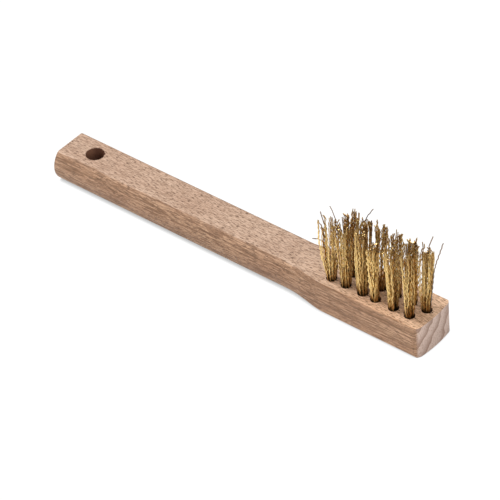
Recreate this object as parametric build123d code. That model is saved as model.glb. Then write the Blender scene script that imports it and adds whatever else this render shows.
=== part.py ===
from build123d import *
import math
import os

# A small hand scratch brush: one beech block, twelve tufts of brass wire and their anchors.
# Millimetres. X runs along the block towards the toe, Z is up, the way the wire points, and
# the origin is the middle of the flat underside. -Y is the front side.

# The block
block_length = 150.0
handle_width = 16.9
handle_thickness = 11.2
handle_side_bulge = 2.7  # how far the barrelled sides stand past the edges of the flat faces
handle_edge_radius = 1.3
head_width = 17.8
head_thickness = 11.7
head_side_bulge = 0.5  # the head's sides are all but flat
head_edge_radius = 0.4
runout_start = 96.0  # from the heel, where the barrelled sides start to fade
runout_end = 112.0  # from the heel, where the sides have reached the head's shape
runout_steps = 8
toe_bow = 0.8  # how far the middle of the toe end stands past its corners
toe_corner_radius = 2.6

# The hanging hole, drilled right through
hanging_hole_diameter = 6.35
hanging_hole_from_heel = 11.1

# The tuft holes: two rows, drilled by eye, so the spacing along a row wanders a little.
tuft_hole_diameter = 3.5
tuft_hole_depth = 8.0
drill_point_angle = 118.0
front_row_y = -4.35
back_row_y = 0.8
front_row_from_toe = (37.0, 31.3, 24.8, 19.8, 12.8, 6.6)
back_row_from_toe = (33.1, 27.8, 21.5, 15.7, 9.8, 3.9)

# A tuft: wires folded in half, pinched in the hole and splaying above the face
tuft_neck_diameter = 3.44
tuft_fold_radius = 1.3
tuft_profile = ((2.5, 3.8), (9.0, 4.5))  # height above the face, diameter
tuft_tip_diameter = 4.8

# How high above the face each tuft was cut, and how far its tips lean towards the toe
front_heights = (22.6, 23.0, 23.5, 20.2, 22.0, 23.3)
front_leans = (0.4, 0.3, 0.1, 0.0, 0.0, 0.3)
back_heights = (23.8, 23.8, 24.0, 24.0, 24.2, 23.6)
back_leans = (1.3, 1.0, 1.6, 1.2, 1.3, 1.3)

# The anchor: a flat strip across the fold, wider than the hole so that its ends bite the wood
anchor_width = 4.7
anchor_thickness = 0.35
anchor_height = 2.6
anchor_above_bottom = 0.9  # the folded wires pass under it

# Single wires that have sprung out of the end tufts
wire_diameter = 0.3
wire_gap = 0.05  # between a stray wire's end and the tuft that it leaves


def along(from_heel):
    """The X of a place given by its distance from the heel."""
    return from_heel - block_length / 2


def block_section(share):
    """The block's section, at a share of the way from the handle's shape to the head's."""
    fade = share * share * (3 - 2 * share)
    half = (handle_width + (head_width - handle_width) * fade) / 2
    top = handle_thickness + (head_thickness - handle_thickness) * fade
    radius = handle_edge_radius + (head_edge_radius - handle_edge_radius) * fade
    flat = half - handle_side_bulge + (handle_side_bulge - head_side_bulge) * fade
    outline = [
        Line((-flat, 0), (flat, 0)),
        ThreePointArc((flat, 0), (half, top / 2), (flat, top)),
        Line((flat, top), (-flat, top)),
        ThreePointArc((-flat, top), (-half, top / 2), (-flat, 0)),
    ]
    face = make_face(Curve() + outline)
    face = fillet(face.vertices(), radius)
    return Pos(along(runout_start + (runout_end - runout_start) * share), 0, 0) * (Plane.YZ * face)


def make_head():
    """The head, as long as its bowed toe end lets it be."""
    x_start = along(runout_end)
    x_corner = along(block_length - toe_bow)
    x_toe = along(block_length)
    half = head_width / 2
    outline = [
        Line((x_start, -half), (x_corner, -half)),
        ThreePointArc((x_corner, -half), (x_toe, 0), (x_corner, half)),
        Line((x_corner, half), (x_start, half)),
        Line((x_start, half), (x_start, -half)),
    ]
    plan = make_face(Curve() + outline)
    toe_corners = [v for v in plan.vertices() if v.X > 0.5 * (x_start + x_toe)]
    plan = fillet(toe_corners, toe_corner_radius)
    return extrude(block_section(1), block_length / 2) & extrude(plan, head_thickness)


def make_block():
    """Handle, run-out and head in one piece, with the hanging hole."""
    handle = extrude(block_section(0), -runout_start)
    runout = loft([block_section(step / runout_steps) for step in range(runout_steps + 1)])
    block = handle + runout + make_head()
    drill = Cylinder(hanging_hole_diameter / 2, 3 * head_thickness)
    return block - Pos(along(hanging_hole_from_heel), 0, 0) * drill


def tuft_hole():
    """A blind hole with its drill point, standing on the origin, which is the hole's mouth."""
    radius = tuft_hole_diameter / 2
    point = radius / math.tan(math.radians(drill_point_angle / 2))
    over = 2.0
    wall = Pos(0, 0, -tuft_hole_depth) * Cylinder(
        radius, tuft_hole_depth + over, align=(Align.CENTER, Align.CENTER, Align.MIN)
    )
    tip = Pos(0, 0, -tuft_hole_depth - point) * Cone(
        0, radius, point, align=(Align.CENTER, Align.CENTER, Align.MIN)
    )
    return wall + tip


def anchor_slit():
    """The slit that an anchor cuts on its way down, from the face to where it stops."""
    depth = tuft_hole_depth - anchor_above_bottom
    return Pos(0, 0, -depth) * Box(
        anchor_width, anchor_thickness, 2 * depth, align=(Align.CENTER, Align.CENTER, Align.MIN)
    )


def anchor():
    """The anchor where it stops, pressed onto the fold."""
    bottom = anchor_above_bottom - tuft_hole_depth
    return Pos(0, 0, bottom) * Box(
        anchor_width, anchor_thickness, anchor_height, align=(Align.CENTER, Align.CENTER, Align.MIN)
    )


def tuft(height, lean):
    """One tuft, its hole's mouth at the origin. lean moves its tips along X."""
    neck_radius = tuft_neck_diameter / 2
    neck = Pos(0, 0, -tuft_hole_depth) * Cylinder(
        neck_radius, tuft_hole_depth, align=(Align.CENTER, Align.CENTER, Align.MIN)
    )
    neck = fillet(neck.edges().sort_by(Axis.Z)[0], tuft_fold_radius)
    rings = [Circle(neck_radius)]
    for level, diameter in tuft_profile + ((height, tuft_tip_diameter),):
        rings.append(Pos(lean * level / height, 0, level) * Circle(diameter / 2))
    return neck + loft(rings) - anchor()


def stray_wire(points):
    """A single wire through a few points, bent at each."""
    path = Polyline(*points)
    start = Plane(origin=points[0], z_dir=Vector(*points[1]) - Vector(*points[0]))
    return sweep(start * Circle(wire_diameter / 2), path=path, transition=Transition.ROUND)


def row_places(from_toe, y):
    """The mouths of a row's holes, from the handle towards the toe."""
    return [Vector(along(block_length - d), y, head_thickness) for d in from_toe]


def stray_places(front, back):
    """The stray wires' points, worked out from the two rows' hole mouths."""
    clear = wire_diameter / 2 + wire_gap
    first, second, last = front[0], back[1], back[-1]
    first_top = front_heights[0] + clear
    second_top = back_heights[1] + clear
    last_top = back_heights[-1] + clear
    return [
        [last + (3.5, 0.2, 17.5), last + (4.1, 0.2, 20.5), last + (7.1, 0.2, 29.8)],
        [last + (0.9, 0.7, last_top), last + (1.3, 0.7, 25.8), last + (2.9, 0.7, 30.1)],
        [second + (0.6, 1.2, second_top), second + (1.0, 1.2, 25.2), second + (3.6, 1.2, 29.4)],
        [first + (2.0, 1.3, first_top), first + (1.3, 1.3, 25.3), first + (-0.1, 1.3, 27.9)],
        [first + (-2.15, 0.8, 19.6), first + (-2.8, 0.8, 21.4), first + (-3.6, 0.8, 24.4)],
        [first + (-2.25, 0, 18.7), first + (-3.0, 0, 19.9), first + (-4.0, 0, 20.8)],
        [first + (-2.3, -0.2, 14.3), first + (-4.2, -0.2, 13.9), first + (-6.6, -0.2, 12.9)],
    ]


front_row = row_places(front_row_from_toe, front_row_y)
back_row = row_places(back_row_from_toe, back_row_y)
rows = {
    "front": zip(front_row, front_heights, front_leans),
    "back": zip(back_row, back_heights, back_leans),
}

nodes = {}
block = make_block()
for row, tufts in rows.items():
    for number, (mouth, height, lean) in enumerate(tufts, start=1):
        place = Pos(mouth.X, mouth.Y, mouth.Z)
        block = block - place * tuft_hole() - place * anchor_slit()
        nodes[f"tuft_{row}_{number}"] = place * tuft(height, lean)
        nodes[f"anchor_{row}_{number}"] = place * anchor()
nodes["handle"] = block
strays = [stray_wire(points) for points in stray_places(front_row, back_row)]
nodes["stray_wires"] = Compound(strays)

os.makedirs("parts", exist_ok=True)
for name, shape in nodes.items():
    export_step(shape, f"parts/{name}.step")
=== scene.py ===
import math
import random

import bmesh
import bpy
from mathutils import Euler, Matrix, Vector


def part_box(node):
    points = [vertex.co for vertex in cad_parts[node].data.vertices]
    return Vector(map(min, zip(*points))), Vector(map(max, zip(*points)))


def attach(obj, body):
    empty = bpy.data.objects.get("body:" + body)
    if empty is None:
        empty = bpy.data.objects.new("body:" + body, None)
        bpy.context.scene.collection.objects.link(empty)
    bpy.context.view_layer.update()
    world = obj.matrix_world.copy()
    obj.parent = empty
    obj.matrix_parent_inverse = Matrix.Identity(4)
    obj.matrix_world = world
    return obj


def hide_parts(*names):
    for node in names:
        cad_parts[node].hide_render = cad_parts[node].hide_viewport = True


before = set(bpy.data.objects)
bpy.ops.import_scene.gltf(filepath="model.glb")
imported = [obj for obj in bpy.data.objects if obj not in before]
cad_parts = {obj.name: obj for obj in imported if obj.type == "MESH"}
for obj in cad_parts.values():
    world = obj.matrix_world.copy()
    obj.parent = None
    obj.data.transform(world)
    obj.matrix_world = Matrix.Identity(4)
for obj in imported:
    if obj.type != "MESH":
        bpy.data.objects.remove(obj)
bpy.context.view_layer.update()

# ---------------------------------------------------------------- camera
# A long lens, 40 degrees up, on the front side of the toe end. It is rolled a few degrees,
# so the upright wire leans a little to the left.
scene = bpy.context.scene
camera_place = Vector((0.5733, -0.6246, 0.7115))
camera_aim = Vector((0.0039, -0.0034, 0.00575))
camera_roll = math.radians(-4.65)
camera_lens = 250.6
film_width = 36
camera = bpy.data.objects.new("camera", bpy.data.cameras.new("camera"))
camera.data.sensor_width = film_width
camera.data.lens = camera_lens
camera.location = camera_place
looking = (camera_aim - camera_place).to_track_quat("-Z", "Y").to_matrix()
camera.rotation_euler = (looking @ Euler((0, 0, camera_roll)).to_matrix()).to_euler()
scene.collection.objects.link(camera)
scene.camera = camera

# ---------------------------------------------------------------- light
# One soft panel high over the heel end, and a weak one past the toe. The surround is bright
# overhead and grey round the horizon, so upright faces are the darker ones. Behind the brush
# it shows plain white.
key_place, key_size, key_power = Vector((-0.76, -0.16, 1.14)), 0.40, 13.6
fill_place, fill_size, fill_power = Vector((1.0, -0.7, 0.6)), 0.6, 5.0
overhead_strength = 1.0
horizon_strength = 0.30
horizon_height, overhead_height = 0.1, 0.8
scene.view_settings.view_transform = "Standard"


def soft_panel(name, place, size, power):
    """A square panel that faces the brush."""
    panel = bpy.data.lights.new(name, "AREA")
    panel.size = size
    panel.energy = power
    holder = bpy.data.objects.new(name, panel)
    holder.location = place
    holder.rotation_euler = (camera_aim - place).to_track_quat("-Z", "Y").to_euler()
    scene.collection.objects.link(holder)


def add_node(tree, kind, settings=(), **inputs):
    """A shader node. Each input is a number, a colour or another node's socket."""
    made = tree.nodes.new(kind)
    for key, value in dict(settings).items():
        setattr(made, key, value)
    for key, value in inputs.items():
        socket = made.inputs[int(key[1:]) if key[0] == "_" else key.replace("_", " ")]
        if isinstance(value, bpy.types.NodeSocket):
            tree.links.new(value, socket)
        else:
            socket.default_value = value
    return made


def ramp(tree, value, low, high, to_low=0.0, to_high=1.0):
    """value, turned smoothly from low..high into to_low..to_high. low and high can be sockets."""
    smooth = {"interpolation_type": "SMOOTHSTEP"}
    limits = {"From_Min": low, "From_Max": high, "To_Min": to_low, "To_Max": to_high}
    return add_node(tree, "ShaderNodeMapRange", smooth, Value=value, **limits).outputs["Result"]


soft_panel("key_panel", key_place, key_size, key_power)
soft_panel("fill_panel", fill_place, fill_size, fill_power)
surround = bpy.data.worlds.new("surround")
surround.use_nodes = True
sky = surround.node_tree
direction = add_node(sky, "ShaderNodeTexCoord").outputs["Generated"]
up = add_node(sky, "ShaderNodeSeparateXYZ", Vector=direction).outputs["Z"]
sky_strength = ramp(sky, up, horizon_height, overhead_height, horizon_strength, overhead_strength)
seen = add_node(sky, "ShaderNodeLightPath").outputs["Is Camera Ray"]
shown = add_node(sky, "ShaderNodeMath", {"operation": "MAXIMUM"}, _0=sky_strength, _1=seen).outputs[0]
sky.links.new(shown, sky.nodes["Background"].inputs["Strength"])
sky.nodes["Background"].inputs["Color"].default_value = (1, 1, 1, 1)
scene.world = surround

# ---------------------------------------------------------------- table
# A white table top with no edge in sight. It shows pure white, as an overexposed sheet of
# paper does, with a thin soft painted contact shadow, grey, where the brush touches it. From below it is
# clear.
table_reach = 4.0
table_drop = 0.00002
contact_reach = 0.0019
touching = 0.0002
matt_white = (0.85, 0.85, 0.85, 1)
contact_shadow_grey, full_white = 0.5, 1.05
table_mesh = bpy.data.meshes.new("table_top")
shape = bmesh.new()
bmesh.ops.create_grid(shape, x_segments=1, y_segments=1, size=table_reach)
shape.to_mesh(table_mesh)
shape.free()
table = bpy.data.objects.new("table_top", table_mesh)
table.location.z = -table_drop
scene.collection.objects.link(table)
white_paper = bpy.data.materials.new("white_paper")
white_paper.use_nodes = True
paper = white_paper.node_tree
paper.nodes.remove(paper.nodes["Principled BSDF"])
# ambient occlusion paints the soft grey contact shadow round the brush's foot
shelter = add_node(paper, "ShaderNodeAmbientOcclusion", {"samples": 16}, Distance=contact_reach)
shade = ramp(paper, shelter.outputs["AO"], 0.1, 0.8, contact_shadow_grey, full_white)
bright = add_node(paper, "ShaderNodeEmission", Strength=shade).outputs[0]
matt = add_node(paper, "ShaderNodeBsdfDiffuse", Color=matt_white).outputs[0]
paper_ray = add_node(paper, "ShaderNodeLightPath")
both = add_node(paper, "ShaderNodeMixShader", _0=paper_ray.outputs["Is Camera Ray"], _1=matt, _2=bright)
# from below, and for what lies right on it, the sheet is clear, so the underside gets light
below = add_node(paper, "ShaderNodeNewGeometry").outputs["Backfacing"]
run = paper_ray.outputs["Ray Length"]
near = add_node(paper, "ShaderNodeMath", {"operation": "LESS_THAN"}, _0=run, _1=touching).outputs[0]
see_through = add_node(paper, "ShaderNodeMath", {"operation": "MAXIMUM"}, _0=below, _1=near).outputs[0]
clear = add_node(paper, "ShaderNodeBsdfTransparent").outputs[0]
sheet = add_node(paper, "ShaderNodeMixShader", _0=see_through, _1=both.outputs[0], _2=clear).outputs[0]
paper.links.new(sheet, paper.nodes["Material Output"].inputs["Surface"])
table_mesh.materials.append(white_paper)

# ---------------------------------------------------------------- block
# Handle and head in one piece of beech, planed, its edges eased and sanded, with no varnish.
# Its rings curve round a pith that lay off one edge: they show as slanting bands on the two
# ends and long wavy streaks along the sides, and the rays show as short dark flecks.
pith_y, pith_z = -0.0167, 0.0168
ring_width = 0.0050
pore_depth = 0.00006
# two dark veins along each side: height, half width, depth of colour
veins = ((0.0074, 0.00045, 0.75), (0.0062, 0.0004, 0.45))
vein_drift = 0.0034
# where, along X, the board turns lighter, partly as paler wood and partly as painted light, and
# where its top gets painted lighter once more, as painted light
head_pale_start, head_pale_full = 0.015, 0.04
top_light_start, top_light_full = 0.03, 0.06
hanging_hole = (-0.0639, 0.0, 0.0112)
rim_radius = 0.0031
rim_raggedness = 0.004
# an upright wall nearer the middle than this is the wall of a drilled hole
bored_half_width, bored_half_length = 0.0065, 0.0736
mask_edge = 0.0001
pale_wood = (0.51, 0.352, 0.254, 1)
pink_wood = (0.44, 0.284, 0.198, 1)
brown_wood = (0.185, 0.097, 0.052, 1)
fleck_brown = (0.12, 0.06, 0.03, 1)
side_stain = (0.90, 0.80, 0.68, 1)
end_grain = (0.57, 0.43, 0.36, 1)
end_brown = (0.25, 0.145, 0.1, 1)
# dark browns for painted shade on the holes' walls, and for the torn rim of the hanging hole
shade_and_tear_brown = (0.13, 0.05, 0.026, 1)
toe_wall_shade_brown = (0.22, 0.10, 0.055, 1)
head_pale_and_lit = (1.12, 1.12, 1.10, 1)
head_top_painted_light = (1.42, 1.38, 1.28, 1)
beech = bpy.data.materials.new("beech")
beech.use_nodes = True
beech_finish = beech.node_tree.nodes["Principled BSDF"]


def arithmetic(tree, operation, first, second=0.0):
    """The result of a sum on one or two numbers or sockets."""
    return add_node(tree, "ShaderNodeMath", {"operation": operation}, _0=first, _1=second).outputs[0]


def times(tree, first, second):
    """first multiplied by second."""
    return arithmetic(tree, "MULTIPLY", first, second)


def unsigned(tree, value):
    """value without its sign."""
    return arithmetic(tree, "ABSOLUTE", value)


def blend_colour(tree, share, first, second, blend="MIX"):
    """Two colours mixed. share is a number or a socket."""
    made = add_node(tree, "ShaderNodeMix", {"data_type": "RGBA", "blend_type": blend})
    for socket, value in ((made.inputs[0], share), (made.inputs[6], first), (made.inputs[7], second)):
        if isinstance(value, bpy.types.NodeSocket):
            tree.links.new(value, socket)
        else:
            socket.default_value = value
    return made.outputs[2]


def stretched(tree, length, across, down):
    """Object coordinates counted in patches of that many millimetres along X, Y and Z."""
    where = add_node(tree, "ShaderNodeTexCoord").outputs["Object"]
    scale = (1000 / length, 1000 / across, 1000 / down)
    return add_node(tree, "ShaderNodeMapping", Vector=where, Scale=scale).outputs[0]


def noise(tree, vector, detail=2.0, roughness=0.5, distortion=0.0):
    """Soft noise, round 0.5, with patches one unit of vector in size."""
    made = add_node(tree, "ShaderNodeTexNoise", Vector=vector, Scale=1.0)
    made.inputs["Detail"].default_value = detail
    made.inputs["Roughness"].default_value = roughness
    made.inputs["Distortion"].default_value = distortion
    return made.outputs["Fac"]


tree = beech.node_tree
where = add_node(tree, "ShaderNodeTexCoord").outputs["Object"]
place = add_node(tree, "ShaderNodeSeparateXYZ", Vector=where)
normal = add_node(tree, "ShaderNodeNewGeometry").outputs["Normal"]
facing = add_node(tree, "ShaderNodeSeparateXYZ", Vector=normal)
side = unsigned(tree, facing.outputs["Y"])
upward = unsigned(tree, facing.outputs["Z"])
end = ramp(tree, unsigned(tree, facing.outputs["X"]), 0.6, 0.9)
# distance from the pith, in ring widths, with a slow wander along the block
from_y = arithmetic(tree, "SUBTRACT", place.outputs["Y"], pith_y)
from_z = arithmetic(tree, "SUBTRACT", place.outputs["Z"], pith_z)
from_pith = add_node(tree, "ShaderNodeCombineXYZ", Y=from_y, Z=from_z).outputs[0]
reach = add_node(tree, "ShaderNodeVectorMath", {"operation": "LENGTH"}, _0=from_pith).outputs["Value"]
wander = times(tree, noise(tree, stretched(tree, 24, 9, 9), 3, 0.5), 1.6)
rings = arithmetic(tree, "ADD", arithmetic(tree, "DIVIDE", reach, ring_width), wander)
ring_share = arithmetic(tree, "FRACT", rings)
late_wood = arithmetic(tree, "POWER", ring_share, 2.0)
clouds = noise(tree, stretched(tree, 30, 7, 7), 3)
wood = blend_colour(tree, ramp(tree, clouds, 0.3, 0.7), pale_wood, pink_wood)
# streaks and ring lines: faint on the faces, strong and long on the sides
streaks = noise(tree, stretched(tree, 9, 1.4, 0.42), 4, 0.7, 0.8)
streak_depth = ramp(tree, side, 0.2, 0.7, 0.12, 0.9)
streak_share = times(tree, ramp(tree, streaks, 0.47, 0.58), streak_depth)
wood = blend_colour(tree, streak_share, wood, brown_wood)
ring_depth = ramp(tree, side, 0.2, 0.7, 0.10, 0.6)
ring_line = times(tree, ramp(tree, ring_share, 0.7, 0.95), ring_depth)
wood = blend_colour(tree, ring_line, wood, brown_wood)
# the sides are darker than the faces, with the streaks fraying the border between them
uneven = times(tree, arithmetic(tree, "SUBTRACT", streaks, 0.5), 1.6)
sided = ramp(tree, arithmetic(tree, "ADD", side, uneven), 0.2, 0.6)
wood = blend_colour(tree, sided, wood, side_stain, "MULTIPLY")
# fibres, and the small dark dashes of the rays
fibres = noise(tree, stretched(tree, 2.6, 0.30, 0.30), 2, 0.7)
wood = blend_colour(tree, ramp(tree, fibres, 0.40, 0.62, 0.0, 0.55), wood, brown_wood)
flecks = noise(tree, stretched(tree, 1.6, 0.28, 0.28), 1, 0.4)
fleck_depth = ramp(tree, side, 0.2, 0.7, 0.85, 0.7)
fleck_share = times(tree, ramp(tree, flecks, 0.57, 0.65), fleck_depth)
wood = blend_colour(tree, fleck_share, wood, fleck_brown)
# the veins wander up and down, and fade in and out, along the upper part of each side
drift = times(tree, noise(tree, stretched(tree, 11, 400, 400), 3, 0.55), vein_drift)
vein_level = arithmetic(tree, "SUBTRACT", place.outputs["Z"], drift)
faded = ramp(tree, noise(tree, stretched(tree, 5, 400, 400), 2), 0.35, 0.6, 0.3, 1.0)
for vein_height, half_width, depth in veins:
    off = unsigned(tree, arithmetic(tree, "SUBTRACT", vein_level, vein_height))
    vein = times(tree, ramp(tree, off, half_width, 0.0, 0.0, depth), faded)
    vein = times(tree, vein, ramp(tree, side, 0.2, 0.5))
    wood = blend_colour(tree, vein, wood, fleck_brown)
# the head is painted lighter: partly the paler end of the board, partly painted light making up
# for the light that the tufts keep off it
paler = ramp(tree, place.outputs["X"], head_pale_start, head_pale_full)
wood = blend_colour(tree, paler, wood, head_pale_and_lit, "MULTIPLY")
# the head's top faces are painted lighter still: painted light standing in for light bounced off the
# brass
top_light_share = times(tree, ramp(tree, place.outputs["X"], top_light_start, top_light_full), upward)
wood = blend_colour(tree, top_light_share, wood, head_top_painted_light, "MULTIPLY")
# end grain: each ring darkens outwards, with open pores in it
pores = noise(tree, stretched(tree, 3, 0.36, 0.7), 3, 0.65)
ends = blend_colour(tree, late_wood, end_grain, end_brown)
ends = blend_colour(tree, ramp(tree, pores, 0.46, 0.66, 0.0, 0.55), ends, end_brown)
wood = blend_colour(tree, end, wood, ends)
# inside a drilled hole the wall is painted dark, as painted shade, lighter where it faces the toe,
# and torn fibres darken the hanging hole's rim
upright = ramp(tree, upward, 0.3, 0.15)
across, along = unsigned(tree, place.outputs["Y"]), unsigned(tree, place.outputs["X"])
inside_y = ramp(tree, across, bored_half_width + mask_edge, bored_half_width - mask_edge)
inside_x = ramp(tree, along, bored_half_length + mask_edge, bored_half_length - mask_edge)
bored = times(tree, upright, times(tree, inside_x, inside_y))
from_hole = add_node(tree, "ShaderNodeVectorMath", {"operation": "DISTANCE"}, _0=where, _1=hanging_hole)
tears = noise(tree, stretched(tree, 0.55, 0.35, 9), 2, 0.6)
ragged = times(tree, arithmetic(tree, "SUBTRACT", tears, 0.5), rim_raggedness)
rim = arithmetic(tree, "ADD", from_hole.outputs["Value"], ragged)
torn = ramp(tree, rim, rim_radius + mask_edge, rim_radius - mask_edge)
toe_facing = ramp(tree, facing.outputs["X"], 0.55, 1.0)
# painted shade in the holes: walls facing the toe get the lighter of the two browns
hole_shade_and_tears = blend_colour(tree, toe_facing, shade_and_tear_brown, toe_wall_shade_brown)
wood = blend_colour(tree, arithmetic(tree, "MAXIMUM", bored, torn), wood, hole_shade_and_tears)
tree.links.new(wood, beech_finish.inputs["Base Color"])
# sanded: the open pores are rougher and lie a little below the faces
roughness = ramp(tree, fibres, 0.3, 0.7, 0.55, 0.75)
tree.links.new(roughness, beech_finish.inputs["Roughness"])
relief = arithmetic(tree, "ADD", fleck_share, times(tree, fibres, 0.8))
bump = add_node(tree, "ShaderNodeBump", {"invert": True}, Height=relief, Distance=pore_depth)
tree.links.new(bump.outputs["Normal"], beech_finish.inputs["Normal"])
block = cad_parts["handle"]
block.data.materials.clear()
block.data.materials.append(beech)

# ---------------------------------------------------------------- tufts
# Twelve bundles of crimped brass wire. Each wire is folded in half over its anchor, so a tuft
# leaves its hole as two sheaves with the anchor between them. They open above the face, their
# wires wander and cross, and they were cut to about one height with shears.
wire_radius = 0.00017
strands_in_sheaf = 8
strand_spacing = 0.00048
twin_spacing = 0.00036
crimp_length = 0.0023
crimp_depth = 0.00022
# how far single strands stray sideways by their tips: most a little, some more
straying = (0.0004, 0.0004, 0.0010)
bow_depth = 0.00028
sway_depth = 0.00018
cut_unevenness = 0.0007
hole_radius = 0.00142
tip_radius = 0.0022
face_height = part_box("handle")[1].z
neck_depth = 0.0050
fold_depth = 0.0075
fold_half_gap = 0.0003
# in the hole, a leg's distance from the middle shrinks by these
neck_pinch, fold_pinch = 0.6, 0.8
rows = ("front", "back")
tufts_in_row = 6
# tufts that open wider, or less, than the others
wider = {
    "tuft_front_1": 1.3,
    "tuft_front_4": 0.85,
    "tuft_front_5": 1.15,
    "tuft_back_3": 0.9,
    "tuft_back_6": 0.85,
}
bright_brass = (1.0, 0.75, 0.33, 1)
brown_brass = (0.42, 0.20, 0.036, 1)
grey_brass = (0.30, 0.27, 0.25, 1)
stain_brown = (0.16, 0.082, 0.026, 1)
tip_oxide_and_shade_brown = (0.26, 0.125, 0.04, 1)
foot_brown = (0.16, 0.09, 0.04, 1)
tip_start, tip_full = face_height + 0.014, face_height + 0.024
foot_top = face_height + 0.004
pit_depth = 0.00001
# one tone in four is dull, and they are painted darker from a tuft's heel side to its toe side,
# as painted shade on the side turned from the key light
dull_or_not = (0.0, 0.0, 0.0, 0.5)
tone_range = 0.4
toe_side_shade = 0.25
middling_tone = 0.5
random.seed(5)

# blotches of tarnish, for the brass and the steel: the plain pattern, and the share of stain,
# which runs from none where the pattern is at Stain Start to all at Stain Full
blotches = bpy.data.node_groups.new("blotches", "ShaderNodeTree")
for in_out, names in (("INPUT", ("Stain Start", "Stain Full")), ("OUTPUT", ("Pattern", "Stain"))):
    for name in names:
        blotches.interface.new_socket(name, in_out=in_out, socket_type="NodeSocketFloat")
limit = blotches.nodes.new("NodeGroupInput").outputs
pattern = noise(blotches, stretched(blotches, 0.8, 0.8, 1.6), 3, 0.6)
stain = ramp(blotches, pattern, limit["Stain Start"], limit["Stain Full"])
blotch_out = blotches.nodes.new("NodeGroupOutput")
blotches.links.new(pattern, blotch_out.inputs["Pattern"])
blotches.links.new(stain, blotch_out.inputs["Stain"])

brass = bpy.data.materials.new("brass_wire")
brass.use_nodes = True
brass_finish = brass.node_tree.nodes["Principled BSDF"]
brass_finish.inputs["Metallic"].default_value = 1.0
tree = brass.node_tree
tone = add_node(tree, "ShaderNodeAttribute", {"attribute_name": "wire_tone"}).outputs["Fac"]
gold = blend_colour(tree, ramp(tree, tone, 0.05, 0.9), bright_brass, brown_brass)
# the duller a wire, the more its stains show
stains = add_node(tree, "ShaderNodeGroup", {"node_tree": blotches}, Stain_Start=0.46, Stain_Full=0.64)
stain_depth = ramp(tree, tone, 0.1, 0.8, 0.2, 0.95)
stained = times(tree, stains.outputs["Stain"], stain_depth)
gold = blend_colour(tree, stained, gold, stain_brown)
gold = blend_colour(tree, ramp(tree, tone, 1.0, 2.0), gold, grey_brass)
# browner towards the cut tips, partly dark oxide and partly painted shade of the gaps between
# them, and at the foot where dirt stays
where = add_node(tree, "ShaderNodeTexCoord").outputs["Object"]
level = add_node(tree, "ShaderNodeSeparateXYZ", Vector=where).outputs["Z"]
gold = blend_colour(tree, ramp(tree, level, tip_start, tip_full, 0.0, 0.5), gold, tip_oxide_and_shade_brown)
gold = blend_colour(tree, ramp(tree, level, foot_top, face_height, 0.0, 0.5), gold, foot_brown)
tree.links.new(gold, brass_finish.inputs["Base Color"])
roughness = ramp(tree, stains.outputs["Pattern"], 0.35, 0.7, 0.24, 0.5)
tree.links.new(roughness, brass_finish.inputs["Roughness"])
pits = noise(tree, stretched(tree, 0.22, 0.22, 0.3), 2, 0.6)
bump = add_node(tree, "ShaderNodeBump", Height=pits, Distance=pit_depth)
tree.links.new(bump.outputs["Normal"], brass_finish.inputs["Normal"])


def hole_mouth(hole):
    """The middle of a hole's mouth, found from the anchor below it. hole is like front_1."""
    low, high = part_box(f"anchor_{hole}")
    middle = (low + high) / 2
    return Vector((middle.x, middle.y, face_height))


def sideways(length):
    """A step of that length along the face, in a random direction."""
    turn = random.uniform(0, math.tau)
    return Vector((math.cos(turn), math.sin(turn), 0)) * length


def sheaf_places(side):
    """Where the strands of one side of a tuft leave the hole, none on top of another."""
    places = []
    while len(places) < strands_in_sheaf:
        place = Vector((random.uniform(-1, 1), side * random.uniform(0.2, 1), 0)) * hole_radius
        clear = all((place - other).length > strand_spacing for other in places)
        if place.length < hole_radius and clear:
            places.append(place)
    return places


def leg_points(start, height, lean, spread):
    """One strand's line above the face: a fine zigzag along a bowed, wandering line."""
    pitch = crimp_length * random.uniform(0.9, 1.12)
    steps = max(4, round(2 * height / pitch))
    crimp = sideways(crimp_depth) * random.uniform(0.7, 1.2)
    loose = random.choice(straying)
    wander = Vector((random.gauss(0, loose), random.gauss(0, loose), 0))
    bow = Vector((random.gauss(0, bow_depth), random.gauss(0, bow_depth), 0))
    sway = Vector((random.uniform(-1, 1), random.uniform(-1, 1), 0)) * sway_depth
    sway_pace, sway_phase = random.uniform(2, 3.5), random.uniform(0, math.tau)
    points = []
    for step in range(steps + 1):
        share = step / steps
        opening = 1 + (spread - 1) * math.sin(0.5 * math.pi * share) ** 0.8
        line = start * opening + (lean + wander) * share + bow * math.sin(math.pi * share)
        line += sway * math.sin(math.tau * sway_pace * share + sway_phase) * min(1.0, 3 * share)
        zigzag = crimp * (1 if step % 2 else -1) * min(1.0, 0.3 + 4 * share)
        points.append(line + zigzag * random.uniform(0.6, 1.3) + Vector((0, 0, share * height)))
    return points


def twin_of(points, height_change):
    """A second wire of the strand, next to the first, cut a little higher or lower."""
    step = sideways(twin_spacing)
    top = points[-1].z
    twin = [point + step * (0.85 + 0.5 * point.z / top) for point in points]
    twin[-1] = twin[-2].lerp(twin[-1], 1 + height_change)
    return twin


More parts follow.
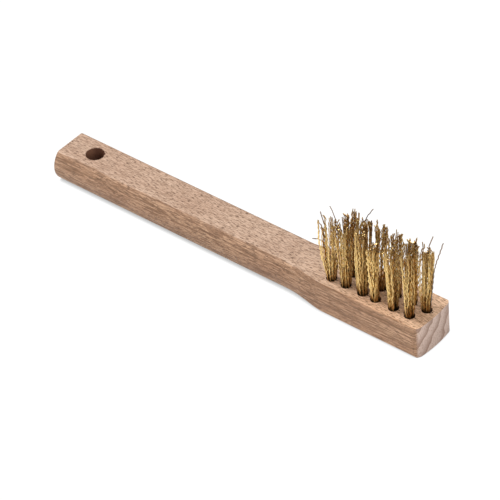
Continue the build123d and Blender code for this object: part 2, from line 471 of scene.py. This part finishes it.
def wires_as_mesh(name, lines, line_tones):
    """Closed square tubes along the lines, with tones from 0, bright, by 1, brown, to 2, grey."""
    curve = bpy.data.curves.new(name, "CURVE")
    curve.dimensions = "3D"
    curve.bevel_depth = wire_radius
    curve.bevel_resolution = 0
    curve.use_fill_caps = True
    for line in lines:
        spline = curve.splines.new("POLY")
        spline.points.add(len(line) - 1)
        for point, at in zip(spline.points, line):
            point.co = (*at, 1)
    holder = bpy.data.objects.new(name, curve)
    scene.collection.objects.link(holder)
    ready = holder.evaluated_get(bpy.context.evaluated_depsgraph_get())
    mesh = bpy.data.meshes.new_from_object(ready)
    bpy.data.objects.remove(holder)
    mesh.name = name
    # Four vertices stand round each point. The two caps' eight vertices aren't counted, so each
    # tone starts that much early for every wire before it, and a wire can change tone part-way.
    tones = []
    for line, line_tone in zip(lines, line_tones):
        tones += [line_tone] * (4 * len(line))
    tones += [middling_tone] * (len(mesh.vertices) - len(tones))
    mesh.attributes.new("wire_tone", "FLOAT", "POINT").data.foreach_set("value", tones)
    mesh.materials.clear()
    mesh.materials.append(brass)
    wires = bpy.data.objects.new(name, mesh)
    scene.collection.objects.link(wires)
    return wires


def fold_points(leg_foot, other_foot):
    """The run of a folded wire inside its hole, from one leg, under the anchor, to the other."""
    return [
        Vector((leg_foot.x, leg_foot.y * neck_pinch, -neck_depth)),
        Vector((leg_foot.x * fold_pinch, -fold_half_gap, -fold_depth)),
        Vector((other_foot.x * fold_pinch, fold_half_gap, -fold_depth)),
        Vector((other_foot.x, other_foot.y * neck_pinch, -neck_depth)),
    ]


def make_tuft(node, mouth, spread):
    """One tuft, as tall and leaning as its node, opening by spread between face and tips."""
    low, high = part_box(node)
    height = high.z - face_height
    lean = Vector((high.x - mouth.x - (high.y - low.y) / 2, 0, 0))
    sheaves = []
    for side in (-1, 1):
        strands = []
        for start in sorted(sheaf_places(side), key=lambda place: place.x):
            first = leg_points(start, height + random.gauss(0, cut_unevenness), lean, spread)
            strands.append((first, twin_of(first, random.uniform(-0.6, 0.9))))
        sheaves.append(strands)
    lines = []
    tones = []
    for near, far in zip(*sheaves):
        for leg, other in zip(near, far):
            wire = leg[::-1] + fold_points(leg[0], other[0]) + other
            lines.append([mouth + point for point in wire])
            duller = random.choice(dull_or_not)
            # wires on a tuft's toe side get a darker tone: painted shade
            toeward = leg[0].x / hole_radius
            tones.append(duller + random.uniform(0, tone_range) + toe_side_shade * toeward)
    return wires_as_mesh(node + "_wires", lines, tones)


for row in rows:
    for number in range(1, tufts_in_row + 1):
        node = f"tuft_{row}_{number}"
        spread = (tip_radius / hole_radius) * wider.get(node, 1.0)
        tuft = make_tuft(node, hole_mouth(f"{row}_{number}"), spread)
        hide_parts(node)
        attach(tuft, "root")

# ---------------------------------------------------------------- stray wires
# Wires that have sprung out of their tufts, or were missed by the shears. Each is rooted in
# its tuft's hole. Each route is its hole, then points in millimetres from that hole's mouth.
millimetre = 0.001
stray_crimp_depth = 0.00009
stray_tone_range = (1.6, 2)
stray_routes = (
    ("back_6", (1.0, 0.1, -4), (1.6, 0.1, 3), (3.2, 0.2, 17.0), (4.1, 0.2, 20.5), (7.1, 0.2, 29.8)),
    ("back_6", (0.4, 0.3, -4), (0.5, 0.4, 4), (0.9, 0.7, 23.0), (1.3, 0.7, 25.8), (2.9, 0.7, 30.1)),
    ("back_2", (0.3, 0.6, -4), (0.4, 0.8, 5), (0.6, 1.2, 23.8), (1.0, 1.2, 25.2), (3.6, 1.2, 29.4)),
    ("back_2", (1.2, 0.3, -4), (1.4, 0.4, 3), (2.35, 0.5, 11.8), (3.3, 0.6, 25.2)),
    ("back_2", (1.4, -0.1, -4), (1.7, 0.0, 3), (2.75, 0.1, 12.5), (3.75, 0.2, 24.2)),
    ("back_5", (1.2, 0.2, -4), (1.4, 0.3, 4), (2.4, 0.4, 14.0), (3.1, 0.4, 23.9)),
    ("back_6", (-1.2, 0.3, -4), (-1.3, 0.3, 4), (-1.5, 0.4, 13.0), (-1.0, 0.4, 22.6)),
    ("front_1", (0.9, 0.6, -4), (1.1, 0.8, 5), (2.0, 1.3, 22.6), (1.3, 1.3, 25.3), (-0.1, 1.3, 27.9)),
    ("front_1", (-1.0, 0.5, -4), (-1.2, 0.6, 5), (-2.1, 0.8, 19.4), (-2.8, 0.8, 21.4), (-3.6, 0.8, 24.4)),
    ("front_1", (-1.2, 0.0, -4), (-1.3, 0.0, 5), (-2.2, 0.0, 18.5), (-3.0, 0.0, 19.9), (-4.0, 0.0, 20.8)),
    (
        "front_1",
        (-1.3, -0.3, -4), (-1.4, -0.3, 4), (-2.0, -0.2, 13.7), (-4.2, -0.2, 13.9), (-6.6, -0.2, 12.9),
    ),
    ("front_2", (-0.2, 0.4, -4), (0.0, 0.5, 5), (-0.1, 0.6, 18.0), (-0.5, 0.6, 26.6)),
    ("front_2", (0.2, 0.3, -4), (0.4, 0.4, 5), (0.3, 0.6, 19.0), (0.1, 0.6, 25.8)),
)


def crimped(corners):
    """A fine zigzag along the runs between the corners."""
    crimp = sideways(stray_crimp_depth)
    points = []
    for first, last in zip(corners, corners[1:]):
        steps = max(2, 2 * round((last - first).length / crimp_length))
        for step in range(steps):
            points.append(first.lerp(last, step / steps) + crimp * (1 if step % 2 else -1))
    return points + [corners[-1]]


stray_lines = []
for hole, *corners in stray_routes:
    mouth = hole_mouth(hole)
    stray_lines.append(crimped([mouth + Vector(corner) * millimetre for corner in corners]))
stray_tones = [random.uniform(*stray_tone_range) for line in stray_lines]
strays = wires_as_mesh("stray_wires_crimped", stray_lines, stray_tones)
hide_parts("stray_wires")
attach(strays, "root")

# ---------------------------------------------------------------- anchors
# A flat strip of plain steel across each fold, driven into the bottom of the hole, where its
# ends bite into the wood on both sides.
bare_steel = (0.42, 0.42, 0.43, 1)
rust_brown = (0.16, 0.09, 0.05, 1)
rust_thickness = 0.00002
steel = bpy.data.materials.new("anchor_steel")
steel.use_nodes = True
tree = steel.node_tree
steel_finish = tree.nodes["Principled BSDF"]
steel_finish.inputs["Metallic"].default_value = 1.0
spots = add_node(tree, "ShaderNodeGroup", {"node_tree": blotches}, Stain_Start=0.5, Stain_Full=0.65)
rust = spots.outputs["Stain"]
metal = blend_colour(tree, rust, bare_steel, rust_brown)
tree.links.new(metal, steel_finish.inputs["Base Color"])
roughness = ramp(tree, spots.outputs["Pattern"], 0.4, 0.65, 0.35, 0.75)
tree.links.new(roughness, steel_finish.inputs["Roughness"])
bump = add_node(tree, "ShaderNodeBump", Height=rust, Distance=rust_thickness)
tree.links.new(bump.outputs["Normal"], steel_finish.inputs["Normal"])
for row in rows:
    for number in range(1, tufts_in_row + 1):
        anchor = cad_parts[f"anchor_{row}_{number}"]
        anchor.data.materials.clear()
        anchor.data.materials.append(steel)
